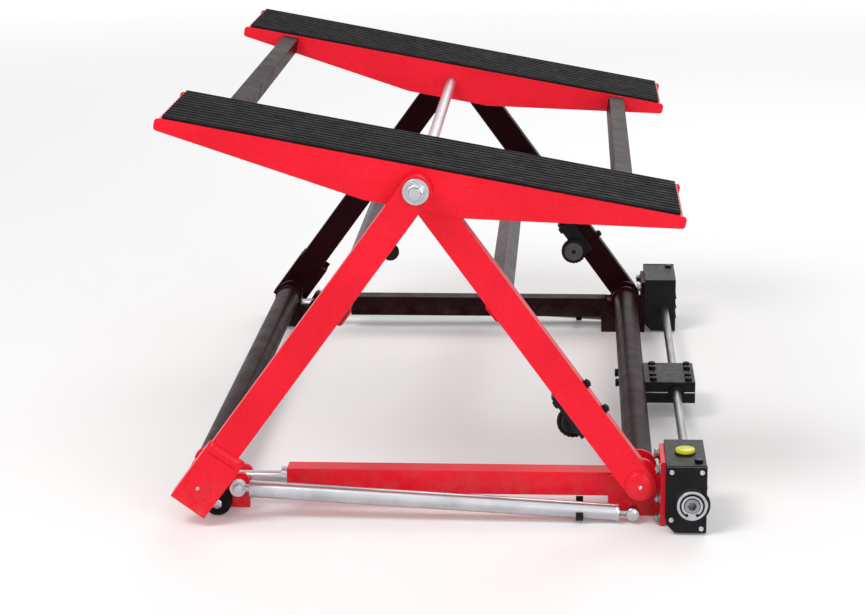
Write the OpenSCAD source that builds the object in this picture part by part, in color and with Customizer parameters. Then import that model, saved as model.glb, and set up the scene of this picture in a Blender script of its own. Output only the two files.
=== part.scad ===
// Mobile lift of two folding leg frames with a tilting platform, driven by two screws.
// The near side is at -Y, the drive side is at +X, and +Z is up.

/* [Legs] */
// Distance between the two pivots of a leg
leg_len = 605; // [560:1:650]
// Angle of the legs to the floor in the raised pose
leg_angle = 53.9; // [52:0.1:54.5]
// Depth of a leg tube, seen from the side
leg_depth = 50; // [46:1:54]
// Width of a leg tube along the pivot
leg_width = 30; // [28:1:34]
// Wall of a leg tube
leg_wall = 3; // [2:0.5:4]
// Height of the foot pivots over the floor
foot_h = 68; // [64:1:74]
// Radius of the stub axles that the legs swing on
stub_r = 15; // [12:0.5:16]
// Height of the plate sleeve past the pivot, along the leg
sleeve_tail = 38; // [30:1:40]
// Length of the plate sleeve above the pivot, along the leg
sleeve_up = 70; // [60:1:90]
// Depth of the sleeve on the leg's lower side
sleeve_low = 38; // [34:1:40]
// Depth of the sleeve on the leg's upper side
sleeve_high = 28; // [27:1:32]
// Wall of the sleeve beside the leg
sleeve_wall = 3; // [2:0.5:4]
// Side of the square cross bars between the legs
bar_side = 30; // [24:1:32]
// Place of a cross bar, along the leg from its foot
bar_along = 365; // [340:1:380]
// Drop of a cross bar below the leg's axis
bar_drop = 16.5; // [15:0.5:18]

/* [Platform] */
// Length of the platform
deck_len = 850; // [780:1:900]
// Width of each tray
deck_w = 262; // [200:1:320]
// Tilt of the platform in the raised pose, with its drive side down
deck_tilt = 10.5; // [6:0.5:12]
// Height of the side plate's top edge over the pivot
plate_top = 33; // [32:1:38]
// Depth of the side plate below the pivot
plate_low = 35; // [30:1:36]
// Height of the side plate at its ends
plate_end = 20; // [16:1:24]
// Half length of the deepest stretch of the side plate
plate_flat = 80; // [60:1:100]
// Thickness of the side plates
plate_t = 4; // [3:0.5:5]
// Thickness of the folded top sheet
sheet_t = 3; // [2:0.5:4]
// Thickness of the rubber mat
mat_t = 6; // [4:0.5:8]
// Side of the platform's cross tubes
deck_tube = 30; // [20:1:32]
// Distance of the platform's cross tubes from the pivot
deck_tube_x = 330; // [310:1:370]
// Radius of the pivot shaft
pivot_r = 10; // [8:0.5:12]

/* [Base] */
// Distance of the screw axes from the middle plane
screw_y = 583; // [560:1:600]
// Height of the screws and of the drive shaft
screw_h = 51; // [48:1:54]
// Radius of the lifting screws
screw_r = 6; // [5:0.5:6.5]
// Outer side of the square base tubes
base_side = 40; // [36:1:42]
// Wall of the base tubes
base_wall = 3; // [2:0.5:4]
// Distance of the base tube's open end from the gliding pivot
base_short = 133; // [126:1:140]
// Radius of the sliding inner tubes
inner_r = 10; // [9.5:0.5:11]
// Radius of the floor cross pipes
pipe_r = 24.15; // [20:0.05:26]
// Wall of the floor cross pipes
pipe_wall = 3.2; // [2:0.1:5]
// Radius of the floor rollers
roller_r = 23; // [20:0.5:24]
// Width of the floor rollers
roller_w = 24; // [16:1:26]
// Radius of the transport wheels
wheel_r = 26; // [22:0.5:28]
// Width of the transport wheels
wheel_w = 20; // [14:1:20]
// Place of the transport wheels, along the leg from its foot
wheel_along = 140; // [130:1:150]
// Drop of the transport wheels below the leg's axis
wheel_drop = 33; // [30:1:36]

/* [Drive] */
// Size of a gearbox along X
gear_x = 64; // [56:1:72]
// Height of a gearbox
gear_z = 110; // [100:1:118]
// Distance of a gearbox from the drive pivot
gear_gap = 41; // [40:1:50]
// Distance of the drive shaft from the drive pivot
shaft_x = 82; // [78:1:84]
// Radius of the drive shaft
shaft_r = 8; // [7:0.5:8.5]
// Pitch radius of the bevel gears
bevel_r = 16; // [15:0.5:16]
// Outer radius of the bright ring round the drive socket
ring_r = 24.5; // [20:0.5:26]
// Length of the middle bearing block along the shaft
block_y = 133; // [110:1:160]
// Length of the middle bearing block across the shaft
block_x = 117; // [110:1:130]
// Height of the middle bearing block
block_z = 40; // [34:1:44]

/* [Struts] */
// Outer radius of a strut's tube
strut_r = 14; // [13.5:0.25:14.5]
// Wall of a strut's tube
strut_wall = 1.4; // [1:0.1:1.6]
// Radius of a strut's rod
rod_r = 6; // [5:0.5:6.5]
// Distance of the hidden end of a strut's rod from the rear eye
rod_short = 84; // [70:1:95]
// Distance of the strut's rear eye from the gliding pivot
eye_rear = 58; // [54:1:64]
// Distance of the strut's front eye from the drive pivot
eye_front = 11; // [8:1:14]
// Height of the strut's rear eye
eye_rear_h = 51; // [48:1:56]
// Height of the strut's front eye
eye_front_h = 16; // [15.5:0.5:18]

/* [Hidden] */

// Smoothness of the round parts and of small round parts
round_fn = 64;
small_fn = 32;
// Overrun of a cut past the face that it opens
cut = 1;
// Radial clearance of a shaft or pin that turns in its bore
run_gap = 0.05;
// Gap between pieces that move past each other
side_gap = 0.5;
// Gap between a loose piece and its seat
seat_gap = 0.3;
// Pale red paint, bare steel, dark parts and rubber
red = "#e8364a";
zinc = "#c9ccd0";
steel = "#9a9ca0";
grey = "#575a5a";
dark = "#1b1a1b";
rubber = "#121212";

// Places along X: drive pivot, gliding pivot and platform pivot
span = 2 * leg_len * cos(leg_angle);
plate_corner = 6;
reach_rear = (deck_len / 2 - plate_corner) * cos(deck_tilt)
    - (plate_top - plate_end + plate_corner) * sin(deck_tilt) + plate_corner;
reach_front = max(gear_gap + gear_x, block_x);
x_drive = (span / 2 + reach_rear - reach_front) / 2;
x_glide = x_drive - span;
x_pivot = x_drive - span / 2;
pivot_h = foot_h + leg_len * sin(leg_angle);

// Places along Y, from the middle plane outwards
base_in = screw_y - base_side / 2;
base_out = screw_y + base_side / 2;
foot_in_t = 6;
foot_out_t = 8;
foot_in = base_in - foot_in_t;
foot_out = base_out + foot_out_t;
wheel_in = base_out + 3 * side_gap;
ear_t = 4;
front_in = wheel_in + wheel_w + 2 * side_gap + ear_t;
front_mid = front_in + leg_width / 2;
front_out = front_in + leg_width;
plate_in = front_out + side_gap;
plate_out = plate_in + plate_t;
rear_in = plate_out + side_gap;
rear_mid = rear_in + leg_width / 2;
rear_out = rear_in + leg_width;
deck_in = plate_out - deck_w;
strut_y = front_mid;

// Feet
foot_plate_t = 10;
tube_seat = 12;
foot_back = 50;
flange_t = 8;
flange_x = gear_gap - flange_t;
foot_top_r = 30;
boss_r = leg_depth / 2;
boss_proud = 2;
boss_cap = 5;
shoulder_r = 17;
pin_r = 6;

// Gearbox
case_over = 8;
case_front = 38;
case_in = base_in - case_over;
case_out = front_out + case_front;
cover_t = 6;
case_wall = 5;
gear_floor = 4;
case_chamfer = 14;
cavity_low = 14;
cavity_high = 10;
bolt_r = 4;
bolt_gap = 0.1;
head_r = 8;
head_t = 6;
screw_head_r = 4;
screw_head_t = 3;
screw_inset = 8;
socket_r = 12;
socket_hex_r = 7.5;
socket_deep = 18;
socket_len = 24;
socket_proud = 7;
ring_t = 5;
ring_bore = socket_r + 1;

// Bevel gears
teeth = 16;
tooth_add = 1.3;
tooth_ded = 2;
bevel_face = 5;
bevel_hub_r = 11;
bevel_hub = 10;
tooth_root_share = 0.22;
tooth_tip_share = 0.11;

// Screw, inner tube and nut
inner_wall = 3;
nut_stop = 60;
inner_len = span - nut_stop;
nut_len = 30;
screw_short = 20;
base_reach = span - base_short;
screw_end = base_reach - screw_short;
collar_plug = 24;
collar_flange = 10;
collar_r = 17;

// Rollers, wheels and their brackets
roller_x = 22;
roller_side = 5;
roller_y = foot_out + roller_side;
axle_r = 6;
axle_r_small = 5;
tread_t = 6;
bracket_t = 6;
bracket_from = 118;
bracket_to = 202;
bracket_bolts = [135, 186];
bolt_proud = 9;
nut_r = 7;
nut_t = 6;

// Struts
eye_r = 13;
rod_eye_r = 10.5;
eye_w = 14;
strut_dx = span - eye_rear - eye_front;
strut_dz = eye_rear_h - eye_front_h;
strut_angle = atan2(strut_dz, strut_dx);
strut_d = sqrt(pow(strut_dx, 2) + pow(strut_dz, 2));
tube_short = 22;
tube_end = strut_d - tube_short;
rod_len = strut_d - rod_short;
clip_x = 97;
clip_gap = 1.5;
clip_r = strut_r + clip_gap;
clip_t = 2.5;
clip_w = 12;
clip_h = eye_front_h + (clip_x - eye_front) * tan(strut_angle);

// Pivot hardware
washer_r = 21;
washer_t = 3;
nut_big_r = 15;
nut_big_t = 13;
shaft_proud = 5;
bump_r = 14;
bump_from_top = 105;
mat_inset = 5;

// Places a part at the far side, or its mirror at the near side
module at_far() { children(); }
module at_near() { mirror([0, 1, 0]) children(); }
module both_sides() { at_far() children(); at_near() children(); }

// Local X runs up a front leg from its foot pivot, and local Z points to its lower side
module on_front_leg() { translate([x_drive, 0, foot_h]) rotate([0, leg_angle - 180, 0]) children(); }
// Local X runs up a rear leg from its foot pivot, and local Z points to its upper side
module on_rear_leg() { translate([x_glide, 0, foot_h]) rotate([0, -leg_angle, 0]) children(); }
// Local X runs along the tilted platform from its pivot
module on_deck() { translate([x_pivot, 0, pivot_h]) rotate([0, deck_tilt, 0]) children(); }
// A cylinder along Y from y0 to y1
module rod_y(r, y0, y1, fn = round_fn) {
    translate([0, y0, 0]) rotate([-90, 0, 0]) cylinder(r = r, h = y1 - y0, $fn = fn);
}
// A cylinder along X from x0 to x1
module rod_x(r, x0, x1, fn = round_fn) {
    translate([x0, 0, 0]) rotate([0, 90, 0]) cylinder(r = r, h = x1 - x0, $fn = fn);
}
// A box between two corners
module block(low, high) { translate(low) cube(high - low); }

// Leg tube with solid ends, from a tail behind its foot pivot to its round head
module leg_body(y0, tail) {
    half = leg_depth / 2;
    difference() {
        union() {
            block([-tail, y0, -half], [leg_len, y0 + leg_width, half]);
            translate([leg_len, 0, 0]) rod_y(half, y0, y0 + leg_width);
        }
        block([half + leg_wall, y0 + leg_wall, leg_wall - half],
            [leg_len - half - leg_wall, y0 + leg_width - leg_wall, half - leg_wall]);
        translate([leg_len, 0, 0]) rod_y(pivot_r + run_gap, y0 - cut, y0 + leg_width + cut);
    }
}

module front_leg() color(red) on_front_leg() difference() {
    union() {
        leg_body(front_in, 0);
        rod_y(boss_r, front_in - boss_proud, front_out + boss_proud);
    }
    rod_y(stub_r + run_gap, front_in - boss_proud - cut, front_out + boss_proud - boss_cap);
    for (along = bracket_bolts)
        translate([along, front_mid, -leg_depth])
            cylinder(r = bolt_r + bolt_gap, h = 2 * leg_depth, $fn = small_fn);
}

module rear_leg() color(red) on_rear_leg() difference() {
    leg_body(rear_in, sleeve_tail - sleeve_wall);
    rod_y(stub_r + run_gap, rear_in - cut, rear_out - boss_cap);
}

// Folded sleeve round a rear leg's foot, with a slanted mouth
module leg_sleeve() on_rear_leg() difference() {
    y0 = rear_in - sleeve_wall;
    y1 = rear_out + sleeve_wall;
    half = leg_depth / 2;
    translate([0, y1, 0]) rotate([90, 0, 0]) linear_extrude(y1 - y0)
        polygon([[-sleeve_tail, -sleeve_low], [sleeve_up, -sleeve_low],
            [sleeve_up - sleeve_wall, sleeve_high], [-sleeve_tail, sleeve_high]]);
    block([sleeve_wall - sleeve_tail, rear_in, -half], [sleeve_up + cut, rear_out, half]);
    rod_y(stub_r + run_gap, y0 - cut, rear_in + cut);
}
module leg_sleeves() color(red) both_sides() leg_sleeve();

// Square cross bar between the two inner faces of a pair of legs
module cross_bar(y_end) {
    half = bar_side / 2;
    inner = half - leg_wall;
    difference() {
        block([-half, -y_end, -half], [half, y_end, half]);
        block([-inner, leg_wall - y_end, -inner], [inner, y_end - leg_wall, inner]);
    }
}
module front_cross_bar() color(grey) on_front_leg() translate([bar_along, 0, bar_drop]) cross_bar(front_in);
module rear_cross_bar() color(grey) on_rear_leg() translate([bar_along, 0, -bar_drop]) cross_bar(rear_in);

// Rubber bumpers under the heads of the rear legs
module bump_stops() color(rubber) both_sides() on_rear_leg()
    translate([leg_len - bump_from_top, rear_mid, -leg_depth / 2])
        difference() {
            sphere(r = bump_r, $fn = small_fn);
            translate([-2 * bump_r, -2 * bump_r, 0]) cube([4 * bump_r, 4 * bump_r, 2 * bump_r]);
        }

// Side cheek of a foot, in the XZ plane round its pivot
module cheek(x0, x1, y0, y1) {
    block([x0, y0, 0], [x1, y1, foot_h]);
    translate([0, 0, foot_h]) rod_y(foot_top_r, y0, y1);
}

module drive_foot() color(red) translate([x_drive, 0, 0]) difference() {
    union() {
        cheek(-foot_back, flange_x, foot_in, base_in);
        cheek(-foot_back, flange_x, base_out, foot_out);
        block([-foot_back, foot_in, 0], [flange_x, foot_out, foot_plate_t]);
        block([-foot_back, base_in, 0], [tube_seat - foot_back, base_out, screw_h - base_side / 2]);
        block([flange_x, foot_in, 0], [gear_gap, front_out + boss_proud, foot_h + foot_top_r + foot_plate_t]);
        translate([0, 0, foot_h]) rod_y(shoulder_r, foot_out, front_in - boss_proud - side_gap);
        translate([0, 0, foot_h]) rod_y(stub_r, foot_out, front_out + boss_proud - boss_cap - seat_gap);
        translate([-eye_front, 0, eye_front_h]) rod_y(pin_r, foot_out, strut_y + eye_w / 2 + seat_gap);
    }
    translate([0, screw_y, screw_h]) rod_x(screw_r + run_gap, flange_x - cut, gear_gap + cut);
    for (place = flange_bolts)
        translate([0, place[0], place[1]]) rod_x(bolt_r + bolt_gap, flange_x - cut, gear_gap + cut, small_fn);
}

// Flange bolts as [y, z] places
flange_bolts = [[front_mid + head_r, gear_z - 2 * head_r], [front_mid + head_r, screw_h - head_t],
    [front_mid + head_r, gear_floor + head_r], [case_in + 2 * head_r, gear_z - 2 * head_r]];
flange_bolt_deep = 12;

module drive_cross_pipe() color(dark) translate([x_drive, 0, foot_h]) difference() {
    rod_y(pipe_r, -foot_in, foot_in);
    rod_y(pipe_r - pipe_wall, -foot_in - cut, foot_in + cut);
    for (side = [-1, 1]) translate([0, side * block_y / 4, block_bolt_z])
        rod_x(bolt_r + bolt_gap, -pipe_r - cut, pipe_r + cut, small_fn);
}

// Bolts of the middle block: height below the pipe's axis, and depth in the block
block_bolt_z = -8;
block_bolt_deep = 20;
module middle_bearing_block() color(dark) translate([x_drive, 0, 0]) difference() {
    block([0, -block_y / 2, screw_h - block_z / 2], [block_x, block_y / 2, screw_h + block_z / 2]);
    translate([0, 0, foot_h]) rod_y(pipe_r, -block_y, block_y);
    translate([shaft_x, 0, screw_h]) rod_y(shaft_r + run_gap, -block_y, block_y);
    for (side = [-1, 1]) translate([0, side * block_y / 4, foot_h + block_bolt_z])
        rod_x(bolt_r + bolt_gap, 0, pipe_r + block_bolt_deep + bolt_gap, small_fn);
}
module middle_block_bolts() color(dark)
    for (side = [-1, 1]) translate([x_drive, side * block_y / 4, foot_h + block_bolt_z]) {
        rod_x(bolt_r, -pipe_r, pipe_r + block_bolt_deep, small_fn);
        rod_x(head_r, -pipe_r - head_t, -pipe_r, 6);
    }

module base_tube() color(red) difference() {
    half = base_side / 2;
    inner = half - base_wall;
    x0 = x_drive - base_reach;
    x1 = x_drive - foot_back + tube_seat;
    block([x0, base_in, screw_h - half], [x1, base_out, screw_h + half]);
    block([x0 - cut, screw_y - inner, screw_h - inner], [x1 + cut, screw_y + inner, screw_h + inner]);
}

// Bearing collar in the mouth of a base tube
module guide_collars() color(zinc) both_sides() translate([x_drive - base_reach, screw_y, screw_h])
    difference() {
        inner = base_side / 2 - base_wall;
        union() {
            block([0, -inner, -inner], [collar_plug, inner, inner]);
            rod_x(collar_r, -collar_flange, 0);
        }
        rod_x(inner_r + run_gap, -collar_flange - cut, collar_plug + cut);
    }

// Half ring that carries the strut, on an arm from the base tube
module strut_clips() color(dark) both_sides() translate([x_drive - clip_x, 0, clip_h]) difference() {
    union() {
        translate([0, strut_y, 0]) rod_x(clip_r + clip_t, -clip_w / 2, clip_w / 2);
        block([-clip_w / 2, base_out, -clip_t], [clip_w / 2, strut_y - clip_r, 0]);
        block([-clip_w / 2, base_out, -clip_t], [clip_w / 2, base_out + clip_t, base_side / 4]);
    }
    translate([0, strut_y, 0]) rod_x(clip_r, -clip_w, clip_w);
    block([-clip_w, strut_y - clip_r - clip_t, 0], [clip_w, strut_y + 2 * clip_r, 2 * clip_r]);
}

// Gearbox outline in the XZ plane, with its lower inner corner cut off
module gear_outline() polygon([[gear_gap + case_chamfer, gear_floor], [gear_gap + gear_x, gear_floor],
    [gear_gap + gear_x, gear_floor + gear_z], [gear_gap, gear_floor + gear_z],
    [gear_gap, gear_floor + case_chamfer]]);
module gear_slab(y0, y1) translate([0, y1, 0]) rotate([90, 0, 0]) linear_extrude(y1 - y0) gear_outline();

module gearbox_case() color(dark) translate([x_drive, 0, 0]) difference() {
    gear_slab(case_in, case_out);
    block([gear_gap + case_wall, case_in + case_wall, gear_floor + cavity_low],
        [gear_gap + gear_x - case_wall, case_out + cut, gear_floor + gear_z - cavity_high]);
    translate([shaft_x, 0, screw_h]) rod_y(shaft_r + run_gap, case_in - cut, case_in + 2 * case_wall);
    translate([0, screw_y, screw_h]) rod_x(screw_r + run_gap, 0, gear_gap + 2 * case_wall);
    for (place = flange_bolts) translate([0, place[0], place[1]])
        rod_x(bolt_r + bolt_gap, 0, gear_gap + flange_bolt_deep + bolt_gap, small_fn);
}

module gearbox_covers() color(dark) both_sides() translate([x_drive, 0, 0]) difference() {
    gear_slab(case_out, case_out + cover_t);
    translate([shaft_x, 0, screw_h]) rod_y(socket_r + run_gap, case_out - cut, case_out + 2 * cover_t);
}

// Cover screws as [x, z] places
cover_screws = [[gear_gap + screw_inset, gear_floor + gear_z - screw_inset],
    [gear_gap + gear_x - screw_inset, gear_floor + gear_z - screw_inset],
    [gear_gap + gear_x - screw_inset, gear_floor + screw_inset],
    [gear_gap + screw_inset, gear_floor + case_chamfer + screw_inset]];
module gearbox_bolts() color(zinc) both_sides() translate([x_drive, 0, 0]) {
    for (place = flange_bolts) translate([0, place[0], place[1]]) {
        rod_x(bolt_r, flange_x, gear_gap + flange_bolt_deep, small_fn);
        rod_x(head_r, flange_x - head_t, flange_x, 6);
    }
    for (place = cover_screws) translate([place[0], 0, place[1]])
        rod_y(screw_head_r, case_out + cover_t, case_out + cover_t + screw_head_t, small_fn);
}

module socket_rings() color(zinc) both_sides() translate([x_drive + shaft_x, 0, screw_h]) difference() {
    rod_y(ring_r, case_out + cover_t, case_out + cover_t + ring_t);
    rod_y(ring_bore, case_out, case_out + 2 * cover_t + ring_t);
}

// Round bubble level on the near gearbox
level_r = 17;
level_t = 9;
level_well_r = 11;
level_well = 4;
module bubble_level() color("#c8d21e")
    translate([x_drive + gear_gap + gear_x / 2, -(case_in + case_out) / 2, gear_floor + gear_z])
        difference() {
            cylinder(r = level_r, h = level_t, $fn = round_fn);
            translate([0, 0, level_t - level_well]) cylinder(r = level_well_r, h = level_well + cut, $fn = round_fn);
        }

// Drive shaft, with a hexagon socket on each end
shaft_end = case_out + cover_t + socket_proud;
module drive_shaft() color(steel) translate([x_drive + shaft_x, 0, screw_h])
    rod_y(shaft_r, socket_len - shaft_end, shaft_end - socket_len);
module drive_sockets() color(steel) both_sides() translate([x_drive + shaft_x, 0, screw_h]) difference() {
    rod_y(socket_r, shaft_end - socket_len, shaft_end);
    rod_y(socket_hex_r, shaft_end - socket_deep, shaft_end + cut, 6);
}

// Straight bevel gear: its cone points along +Z, with its apex bevel_r above its base
module bevel_gear(bore, turn) difference() {
    union() {
        linear_extrude(bevel_face, scale = (bevel_r - bevel_face) / bevel_r) {
            circle(r = bevel_r - tooth_ded, $fn = round_fn);
            for (i = [0 : teeth - 1]) rotate(turn + i * 360 / teeth) {
                root = bevel_r * tooth_root_share;
                tip = bevel_r * tooth_tip_share;
                polygon([[bevel_r / 2, -root / 2], [bevel_r - tooth_ded, -root / 2],
                    [bevel_r + tooth_add, -tip / 2], [bevel_r + tooth_add, tip / 2],
                    [bevel_r - tooth_ded, root / 2], [bevel_r / 2, root / 2]]);
            }
        }
        translate([0, 0, -bevel_hub]) cylinder(r = bevel_hub_r, h = bevel_hub, $fn = round_fn);
    }
    translate([0, 0, -bevel_hub - cut])
        cylinder(r = bore, h = bevel_hub + bevel_face + 2 * cut, $fn = round_fn);
}
module shaft_bevel_gears() color(steel) both_sides() translate([x_drive + shaft_x, screw_y + bevel_r, screw_h])
    rotate([90, 0, 0]) bevel_gear(shaft_r, 0);
module screw_gear() color(steel) translate([x_drive + shaft_x - bevel_r, screw_y, screw_h])
    rotate([0, 90, 0]) bevel_gear(screw_r, 180 / teeth);

module lift_screw() color(steel) translate([x_drive, screw_y, screw_h])
    rod_x(screw_r, -screw_end, shaft_x - bevel_r + bevel_face);

module wheel_bracket() color(dark) on_front_leg() {
    half = leg_depth / 2;
    difference() {
        block([bracket_from, front_in, half], [bracket_to, front_out, half + bracket_t]);
        for (along = bracket_bolts) translate([along, front_mid, 0])
            cylinder(r = bolt_r + bolt_gap, h = leg_depth, $fn = small_fn);
    }
    block([bracket_from, front_in - ear_t, 0], [bracket_to - bracket_t, front_in, half + bracket_t]);
    translate([wheel_along, 0, wheel_drop]) rod_y(wheel_drop / 2, front_in - ear_t, front_in);
    translate([wheel_along, 0, wheel_drop]) rod_y(axle_r_small, wheel_in - side_gap, front_in);
}
module wheel_bracket_bolts() color(dark) both_sides() on_front_leg() {
    half = leg_depth / 2;
    for (along = bracket_bolts) translate([along, front_mid, 0]) {
        translate([0, 0, -half - bolt_proud])
            cylinder(r = bolt_r, h = leg_depth + bolt_proud + bracket_t, $fn = small_fn);
        translate([0, 0, -half - nut_t]) cylinder(r = nut_r, h = nut_t, $fn = 6);
        translate([0, 0, half + bracket_t]) cylinder(r = nut_r, h = nut_t, $fn = 6);
    }
}

module on_wheel() { on_front_leg() translate([wheel_along, wheel_in, wheel_drop]) rotate([-90, 0, 0]) children(); }
module wheel_tyre() color(rubber) on_wheel() rotate_extrude($fn = round_fn)
    polygon([[wheel_r - tread_t, 0], [wheel_r - tread_t / 3, 0], [wheel_r, tread_t / 2],
        [wheel_r, wheel_w - tread_t / 2], [wheel_r - tread_t / 3, wheel_w], [wheel_r - tread_t, wheel_w]]);
module wheel_hub() color(grey) on_wheel() rotate_extrude($fn = round_fn)
    polygon([[axle_r_small + run_gap, 0], [2 * axle_r_small, 0], [2 * axle_r_small, wheel_w / 4],
        [wheel_r - tread_t, wheel_w / 4], [wheel_r - tread_t, 3 * wheel_w / 4],
        [2 * axle_r_small, 3 * wheel_w / 4], [2 * axle_r_small, wheel_w], [axle_r_small + run_gap, wheel_w]]);

// Gliding foot: two cheeks, the stub axle for the leg, and the block that holds the inner tube
glide_front = 72;
glide_back = 26;
glide_floor = 6;
module glide_foot() color(red) translate([x_glide, 0, 0]) difference() {
    union() {
        for (y = [[foot_in, base_in], [base_out, foot_out]]) {
            block([-glide_back, y[0], glide_floor], [glide_front, y[1], eye_rear_h]);
            translate([0, 0, foot_h]) rod_y(glide_back, y[0], y[1]);
            translate([eye_rear, 0, eye_rear_h]) rod_y(glide_front - eye_rear, y[0], y[1]);
        }
        block([-glide_back, base_in, screw_h - inner_r - base_wall], [glide_back,
            base_out, screw_h + inner_r + base_wall]);
        translate([0, 0, foot_h]) rod_y(shoulder_r, foot_out, rear_in - sleeve_wall - side_gap);
        translate([0, 0, foot_h]) rod_y(stub_r, foot_out, rear_out - boss_cap - seat_gap);
        translate([eye_rear, 0, eye_rear_h]) rod_y(pin_r, foot_out, strut_y + eye_w / 2 + seat_gap);
    }
    translate([0, screw_y, screw_h]) rod_x(inner_r, -glide_back - cut, glide_back + cut);
    translate([roller_x, 0, roller_r]) rod_y(axle_r, base_out - cut, foot_out + cut);
}

module glide_cross_pipe() color(dark) translate([x_glide, 0, foot_h]) difference() {
    rod_y(pipe_r, -foot_in, foot_in);
    rod_y(pipe_r - pipe_wall, -foot_in - cut, foot_in + cut);
}

module inner_tube() color(zinc) translate([x_glide, screw_y, screw_h]) difference() {
    rod_x(inner_r, -glide_back, inner_len);
    rod_x(inner_r - inner_wall, -glide_back - cut, inner_len + cut);
}

module travel_nuts() color("#b08d3c") both_sides() translate([x_glide + inner_len, screw_y, screw_h])
    difference() {
        half = base_side / 2 - base_wall - side_gap;
        block([0, -half, -half], [nut_len, half, half]);
        rod_x(screw_r + run_gap, -cut, nut_len + cut);
    }

module roller_bolts() color(zinc) both_sides() translate([x_glide + roller_x, 0, roller_r]) {
    rod_y(axle_r, base_out, roller_y + roller_w + seat_gap);
    rod_y(head_r + cut, roller_y + roller_w + seat_gap, roller_y + roller_w + seat_gap + head_t, 6);
}
module roller() color(rubber) translate([x_glide + roller_x, roller_y, roller_r]) rotate([-90, 0, 0])
    rotate_extrude($fn = round_fn)
        polygon([[axle_r + run_gap, 0], [roller_r - tread_t / 3, 0], [roller_r, tread_t / 2],
            [roller_r, roller_w - tread_t / 2], [roller_r - tread_t / 3, roller_w],
            [axle_r + run_gap, roller_w]]);

// Struts: local X runs from the rear eye to the front eye
module on_strut() { translate([x_glide + eye_rear, strut_y, eye_rear_h]) rotate([0, strut_angle, 0]) children(); }
module strut_tube() color(zinc) on_strut() difference() {
    union() {
        rod_y(eye_r, -eye_w / 2, eye_w / 2);
        rod_x(eye_r / 2, 0, 2 * eye_r);
        rod_x(strut_r, 1.5 * eye_r, tube_end);
    }
    rod_x(strut_r - strut_wall, 2 * eye_r, tube_end + cut);
    rod_y(pin_r + run_gap, -eye_w, eye_w);
}
module strut_rod() color(steel) on_strut() difference() {
    union() {
        translate([strut_d, 0, 0]) rod_y(rod_eye_r, -eye_w / 2, eye_w / 2);
        rod_x(rod_r, strut_d - rod_len, strut_d - pin_r - run_gap);
    }
    translate([strut_d, 0, 0]) rod_y(pin_r + run_gap, -eye_w, eye_w);
}

// Pivot shaft through both leg pairs and the platform's four side plates
pivot_end = rear_out + seat_gap + washer_t + nut_big_t + shaft_proud;
module pivot_shaft() color(zinc) translate([x_pivot, 0, pivot_h]) rod_y(pivot_r, -pivot_end, pivot_end);
module pivot_nuts() color(zinc) both_sides() translate([x_pivot, 0, pivot_h]) difference() {
    union() {
        rod_y(washer_r, rear_out + seat_gap, rear_out + seat_gap + washer_t);
        rod_y(nut_big_r, rear_out + seat_gap + washer_t, pivot_end - shaft_proud, 6);
    }
    rod_y(pivot_r, rear_out, pivot_end);
}

// Points of an arc round a centre, from one angle to another
function arc(x, z, r, from, to) = [for (i = [0 : arc_steps])
    let (a = from + (to - from) * i / arc_steps) [x + r * cos(a), z + r * sin(a)]];
arc_steps = 8;

// Outline of a side plate: straight top edge, deep middle, low ends with round corners
module plate_outline() {
    end = deck_len / 2 - plate_corner;
    low = plate_top - plate_end + plate_corner;
    high = plate_top - plate_corner;
    polygon(concat(arc(end, high, plate_corner, 90, 0), arc(end, low, plate_corner, 0, -82),
        [[plate_flat, -plate_low], [-plate_flat, -plate_low]],
        arc(-end, low, plate_corner, -98, -180), arc(-end, high, plate_corner, 180, 90)));
}
module side_plate(y0) on_deck() difference() {
    translate([0, y0 + plate_t, 0]) rotate([90, 0, 0]) linear_extrude(plate_t) plate_outline();
    rod_y(pivot_r + run_gap, y0 - cut, y0 + plate_t + cut);
}
module outer_side_plate() color(red) side_plate(plate_in);
module inner_side_plates() color(red) both_sides() side_plate(deck_in);

// Top sheet between the side plates, with a folded lip at each end
module deck() color(red) on_deck() {
    end = deck_len / 2 - plate_corner;
    y0 = deck_in + plate_t;
    block([-end, y0, plate_top - sheet_t], [end, plate_in, plate_top]);
    for (side = [-1, 1])
        translate([side * (end - sheet_t / 2) - sheet_t / 2, y0, plate_top - plate_end + plate_corner])
            cube([sheet_t, plate_in - y0, plate_end - plate_corner - sheet_t]);
}

rib_count = 12;
rib_w = 6;
rib_h = 1.5;
module rubber_mat() color(rubber) on_deck() {
    end = deck_len / 2 - plate_corner - mat_inset;
    y0 = deck_in + mat_inset;
    y1 = plate_out - mat_inset;
    block([-end, y0, plate_top], [end, y1, plate_top + mat_t - rib_h]);
    for (i = [0 : rib_count - 1])
        translate([-end, y0 + (i + 0.5) * (y1 - y0) / rib_count - rib_w / 2, plate_top + mat_t - rib_h])
            cube([2 * end, rib_w, rib_h]);
}

module platform_cross_tubes() color(dark) on_deck() for (side = [-1, 1])
    translate([side * deck_tube_x, 0, plate_top - sheet_t - deck_tube / 2]) difference() {
        half = deck_tube / 2;
        inner = half - sheet_t;
        block([-half, -deck_in, -half], [half, deck_in, half]);
        block([-inner, -deck_in - cut, -inner], [inner, deck_in + cut, inner]);
    }

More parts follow.
